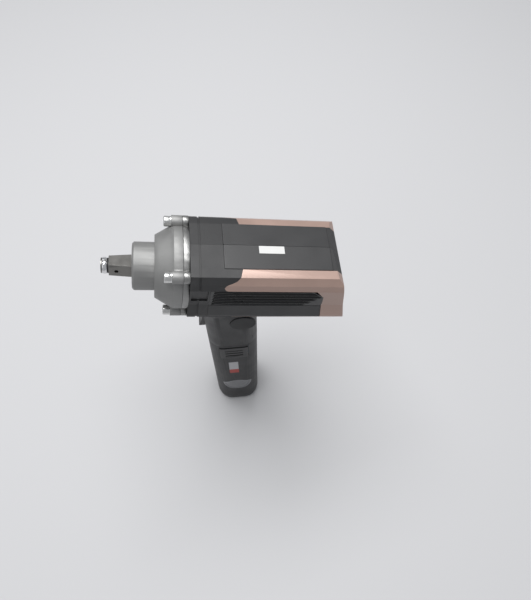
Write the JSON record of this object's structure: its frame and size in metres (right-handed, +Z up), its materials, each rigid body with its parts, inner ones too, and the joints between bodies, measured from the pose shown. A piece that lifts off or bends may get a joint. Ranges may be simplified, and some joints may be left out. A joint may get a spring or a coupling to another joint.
{
  "type": "impact wrench",
  "caption": "Cordless half-inch square-drive impact wrench with metal hammer case, raked grip, clad motor housing and slide-in battery handle foot.",
  "frame": {"origin": "centre of the foot's flat bottom face, which the tool stands on", "axes": "+Z up along the handle, -X towards the nose in the handle's front-to-back plane, drive axis nose up by 10.4 degrees"},
  "size_m": [0.1972, 0.0696, 0.3034],
  "materials": {
    "forged_steel": "ground and oiled",
    "chrome_steel": "polished",
    "cast_case": "bead blasted casting",
    "plate_metal": "machined casting",
    "black_rubber": "moulded",
    "bronze": "sintered bronze",
    "screw_steel": "zinc plated",
    "gear_steel": "hardened",
    "magnet_core": "laminated",
    "copper_wire": "enamelled wire",
    "dark_plastic": "fine texture",
    "black_plastic": "satin",
    "grey_plastic": "satin",
    "rose_cover": "satin metallic paint",
    "board": "solder mask",
    "lens": "clear",
    "cell_wrap": "shrink sleeve",
    "contact_metal": "plated",
    "inlay_gloss": "gloss"
  },
  "bodies": {
    "housing": {"hammer_case": "cast_case", "front_seal": "black_rubber", "anvil_bushing": "bronze", "thrust_washer": "forged_steel", "case_screws": "screw_steel", "spring_washers": "screw_steel", "clamp_plate": "plate_metal", "ring_gear": "gear_steel", "gear_case": "plate_metal", "front_bearing": "chrome_steel", "stator": "magnet_core", "coils": "copper_wire", "rear_bearing": "chrome_steel", "housing_left": "dark_plastic", "housing_right": "dark_plastic", "top_panel_left": "grey_plastic", "top_panel_right": "grey_plastic", "side_cover_left": "rose_cover", "side_cover_right": "rose_cover", "ribbed_insert_left": "black_plastic", "ribbed_insert_right": "black_plastic", "side_strip_left": "grey_plastic", "side_strip_right": "grey_plastic", "side_cap_left": "black_rubber", "side_cap_right": "black_rubber", "housing_screws": "screw_steel", "switch_body": "black_plastic", "led_lens": "lens", "control_board": "board", "terminal_block": "black_plastic"},
    "anvil": {"anvil": "forged_steel", "friction_ring": "chrome_steel", "anvil_oring": "black_rubber"},
    "spindle": {"spindle": "forged_steel", "planet_pins": "screw_steel", "cam_balls": "chrome_steel", "hammer_spring": "gear_steel"},
    "hammer": {"hammer": "gear_steel"},
    "planet_1": {"planet_gear_1": "gear_steel"},
    "planet_2": {"planet_gear_2": "gear_steel"},
    "planet_3": {"planet_gear_3": "gear_steel"},
    "rotor": {"rotor_shaft": "screw_steel", "rotor_core": "magnet_core", "fan": "black_plastic"},
    "trigger": {"trigger": "black_plastic"},
    "direction_lever": {"direction_lever": "grey_plastic"},
    "battery": {"battery_shell": "dark_plastic", "battery_base": "dark_plastic", "battery_cells": "cell_wrap", "battery_terminals": "contact_metal", "foot_inlay_left": "inlay_gloss", "foot_inlay_right": "inlay_gloss"},
    "latch_left": {"battery_latch_left": "black_plastic"},
    "latch_right": {"battery_latch_right": "black_plastic"}
  },
  "joints": [
    {"name": "spindle_spin", "type": "hinge", "parent": "housing", "child": "spindle", "pos_m": [-0.01869, 0, 0.26543], "axis": [0.9836, 0, -0.1805], "continuous": true},
    {"name": "anvil_spin", "type": "hinge", "parent": "housing", "child": "anvil", "pos_m": [-0.05803, 0, 0.27265], "axis": [0.9836, 0, -0.1805], "continuous": true},
    {"name": "hammer_slide", "type": "slide", "parent": "spindle", "child": "hammer", "axis": [0.9836, 0, -0.1805], "range_m": [0, 0.006], "stiffness_N_per_m": 9000, "springref_m": -0.004, "deforming": ["hammer_spring"]},
    {"name": "rotor_spin", "type": "hinge", "parent": "housing", "child": "rotor", "pos_m": [0.03049, 0, 0.2564], "axis": [0.9836, 0, -0.1805], "continuous": true},
    {"name": "planet_1_spin", "type": "hinge", "parent": "spindle", "child": "planet_1", "pos_m": [-0.01299, 0, 0.25218], "axis": [0.9836, 0, -0.1805], "continuous": true},
    {"name": "planet_2_spin", "type": "hinge", "parent": "spindle", "child": "planet_2", "pos_m": [-0.00974, 0.01039, 0.26989], "axis": [0.9836, 0, -0.1805], "continuous": true},
    {"name": "planet_3_spin", "type": "hinge", "parent": "spindle", "child": "planet_3", "pos_m": [-0.00974, -0.01039, 0.26989], "axis": [0.9836, 0, -0.1805], "continuous": true},
    {"name": "trigger_pull", "type": "slide", "parent": "housing", "child": "trigger", "axis": [1, 0, 0], "range_m": [0, 0.007], "stiffness_N_per_m": 900, "springref_m": -0.003},
    {"name": "direction_shift", "type": "slide", "parent": "housing", "child": "direction_lever", "axis": [0, 1, 0], "range_m": [-0.003, 0.003]},
    {"name": "battery_slide", "type": "slide", "parent": "housing", "child": "battery", "axis": [0, 0, -1], "range_m": [0, 0.04]},
    {"name": "latch_left_press", "type": "slide", "parent": "battery", "child": "latch_left", "axis": [0, 1, 0], "range_m": [0, 0.002], "stiffness_N_per_m": 1500, "springref_m": -0.001},
    {"name": "latch_right_press", "type": "slide", "parent": "battery", "child": "latch_right", "axis": [0, -1, 0], "range_m": [0, 0.002], "stiffness_N_per_m": 1500, "springref_m": -0.001}
  ],
  "couplings": [
    {"joint": "anvil_spin", "follows": "spindle_spin", "ratio": 1},
    {"joint": "rotor_spin", "follows": "spindle_spin", "ratio": 6},
    {"joint": "planet_1_spin", "follows": "spindle_spin", "ratio": -2.5},
    {"joint": "planet_2_spin", "follows": "spindle_spin", "ratio": -2.5},
    {"joint": "planet_3_spin", "follows": "spindle_spin", "ratio": -2.5}
  ]
}
